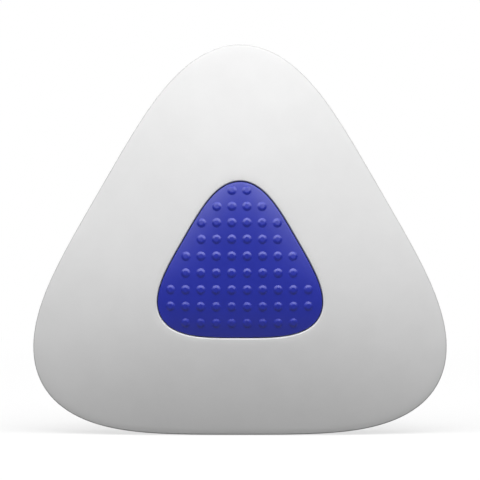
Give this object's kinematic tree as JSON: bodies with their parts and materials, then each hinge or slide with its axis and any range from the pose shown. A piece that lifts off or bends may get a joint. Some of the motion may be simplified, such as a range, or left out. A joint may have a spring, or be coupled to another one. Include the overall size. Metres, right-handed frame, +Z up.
{
  "type": "triangular eraser",
  "caption": "Rounded triangular eraser of white rubber, crowned on both faces, with a blue pipped plastic grip pad set into each face.",
  "frame": {"origin": "middle of the flat side that the eraser stands on, in the middle plane of the body", "axes": "+X across the eraser, +Y through its thickness with the front face towards -Y, +Z up to the top corner"},
  "size_m": [0.0448, 0.0148, 0.0423],
  "materials": {
    "white_rubber": "matt moulded rubber",
    "blue_plastic": "satin moulded plastic"
  },
  "bodies": {
    "root": {"eraser_body": "white_rubber", "front_grip_pad": "blue_plastic", "rear_grip_pad": "blue_plastic"}
  },
  "joints": []
}
